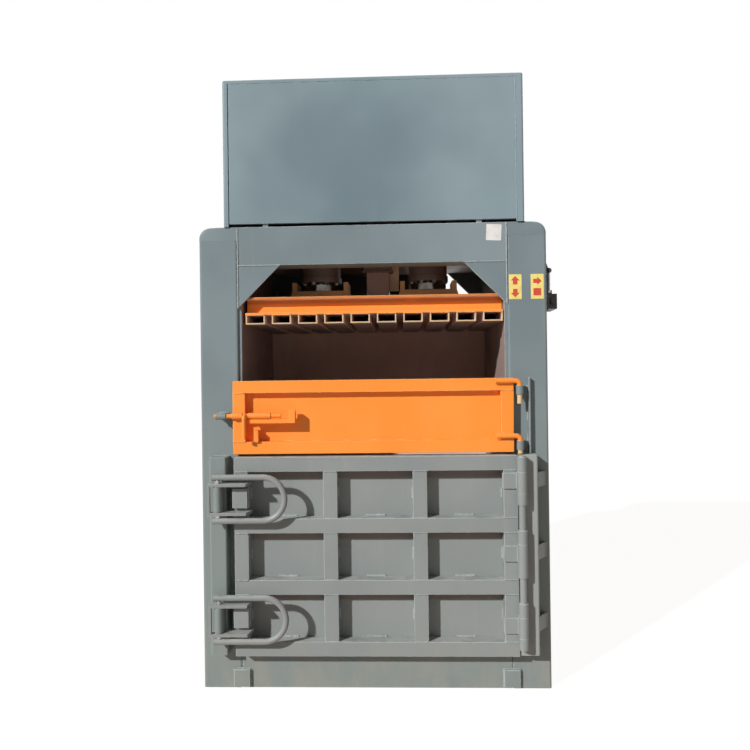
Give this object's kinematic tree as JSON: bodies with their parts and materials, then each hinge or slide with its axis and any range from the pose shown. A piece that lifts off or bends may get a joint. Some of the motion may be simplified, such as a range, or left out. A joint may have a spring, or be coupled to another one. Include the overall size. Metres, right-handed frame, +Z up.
{
  "type": "recycling baler",
  "caption": "Upright recycling baler: steel box frame, ram-driven platen, hinged feed gate with sliding bolt above a hinged main door with claw latches.",
  "frame": {"origin": "on the floor, midway between the columns and midway between the frame's front and back faces", "axes": "+Z up, +X to the machine's right as seen from its front, +Y to its back, so the front faces -Y"},
  "size_m": [1.638, 1.57, 2.723],
  "materials": {
    "frame_paint": "satin grey paint",
    "door_paint": "satin grey paint",
    "shroud_paint": "satin bluish grey paint",
    "orange_paint": "satin orange paint",
    "dusty_paint": "orange paint under dust",
    "latch_paint": "grey paint, worn at the edges",
    "rod_chrome": "hard chrome",
    "bare_steel": "bare steel, slightly dull",
    "ram_paint": "dark satin paint",
    "knob": "black"
  },
  "bodies": {
    "frame": {"left_column": "frame_paint", "right_column": "frame_paint", "rear_columns": "frame_paint", "head_beam": "frame_paint", "rear_beam": "frame_paint", "corner_gussets": "frame_paint", "left_side_wall": "frame_paint", "right_side_wall": "frame_paint", "back_wall": "frame_paint", "side_wall_ribs": "frame_paint", "back_wall_ribs": "frame_paint", "lower_side_panels": "frame_paint", "base_beams": "frame_paint", "chamber_floor": "frame_paint", "floor_channels": "dusty_paint", "ram_deck": "frame_paint", "guide_collar": "frame_paint", "latch_post": "frame_paint", "latch_pins": "bare_steel", "hinge_post": "frame_paint", "door_hinge_pin": "frame_paint", "gate_hinge_sleeves": "frame_paint", "gate_stop_bar": "frame_paint", "bolt_receiver": "frame_paint", "shroud": "shroud_paint", "shroud_front": "shroud_paint", "left_barrel": "ram_paint", "right_barrel": "ram_paint", "cylinder_glands": "bare_steel", "hand_valve": "ram_paint", "hydraulic_pipes": "ram_paint", "oil_tank": "ram_paint", "tank_bracket": "frame_paint", "pump_motor": "shroud_paint", "eject_barrel": "ram_paint"},
    "platen": {"platen_frame": "orange_paint", "platen_channels": "dusty_paint", "rod_yokes": "dusty_paint", "left_rod": "rod_chrome", "right_rod": "rod_chrome", "guide_post": "frame_paint"},
    "door": {"door_rails": "door_paint", "door_stiles": "door_paint", "door_plate": "door_paint", "door_hinge_straps": "door_paint", "claw_keepers": "door_paint"},
    "gate": {"gate_frame": "orange_paint", "gate_panel": "orange_paint", "gate_hinge_rods": "bare_steel", "bolt_guides": "orange_paint", "gate_peg": "orange_paint"},
    "bolt_collar_body": {"bolt_collar": "orange_paint"},
    "bolt_body": {"gate_bolt": "bare_steel"},
    "upper_claw_body": {"upper_claw": "latch_paint"},
    "lower_claw_body": {"lower_claw": "latch_paint"},
    "upper_handle_body": {"upper_handle": "latch_paint"},
    "lower_handle_body": {"lower_handle": "latch_paint"},
    "platen_lever_body": {"platen_lever": "knob"},
    "eject_lever_body": {"eject_lever": "knob"},
    "pusher": {"bale_pusher": "bare_steel"}
  },
  "joints": [
    {"name": "platen_slide", "type": "slide", "parent": "frame", "child": "platen", "axis": [0, 0, -1], "range_m": [0, 0.675]},
    {"name": "door_hinge", "type": "hinge", "parent": "frame", "child": "door", "pos_m": [0.638, -0.555, 0.6], "axis": [0, 0, 1], "range_deg": [0, 180]},
    {"name": "gate_hinge", "type": "hinge", "parent": "frame", "child": "gate", "pos_m": [0.641, -0.504, 1.2], "axis": [0, 0, 1], "range_deg": [0, 175]},
    {"name": "bolt_slide", "type": "slide", "parent": "gate", "child": "bolt_collar_body", "axis": [1, 0, 0], "range_m": [0, 0.058]},
    {"name": "bolt_turn", "type": "hinge", "parent": "bolt_collar_body", "child": "bolt_body", "pos_m": [-0.55, -0.508, 1.22], "axis": [1, 0, 0], "range_deg": [-100, 0]},
    {"name": "upper_claw_hinge", "type": "hinge", "parent": "frame", "child": "upper_claw_body", "pos_m": [-0.673, -0.57, 0.864], "axis": [0, 0, -1], "range_deg": [0, 100]},
    {"name": "lower_claw_hinge", "type": "hinge", "parent": "frame", "child": "lower_claw_body", "pos_m": [-0.673, -0.57, 0.343], "axis": [0, 0, -1], "range_deg": [0, 100]},
    {"name": "upper_handle_hinge", "type": "hinge", "parent": "frame", "child": "upper_handle_body", "pos_m": [-0.673, -0.57, 0.864], "axis": [0, 0, -1], "range_deg": [0, 150]},
    {"name": "lower_handle_hinge", "type": "hinge", "parent": "frame", "child": "lower_handle_body", "pos_m": [-0.673, -0.57, 0.343], "axis": [0, 0, -1], "range_deg": [0, 150]},
    {"name": "platen_lever_hinge", "type": "hinge", "parent": "frame", "child": "platen_lever_body", "pos_m": [0.8, -0.21, 1.775], "axis": [1, 0, 0], "range_deg": [-18, 18], "stiffness_Nm_per_rad": 2},
    {"name": "eject_lever_hinge", "type": "hinge", "parent": "frame", "child": "eject_lever_body", "pos_m": [0.834, -0.21, 1.775], "axis": [1, 0, 0], "range_deg": [-18, 18], "stiffness_Nm_per_rad": 2},
    {"name": "pusher_slide", "type": "slide", "parent": "frame", "child": "pusher", "axis": [0, -1, 0], "range_m": [0, 0.45]}
  ]
}
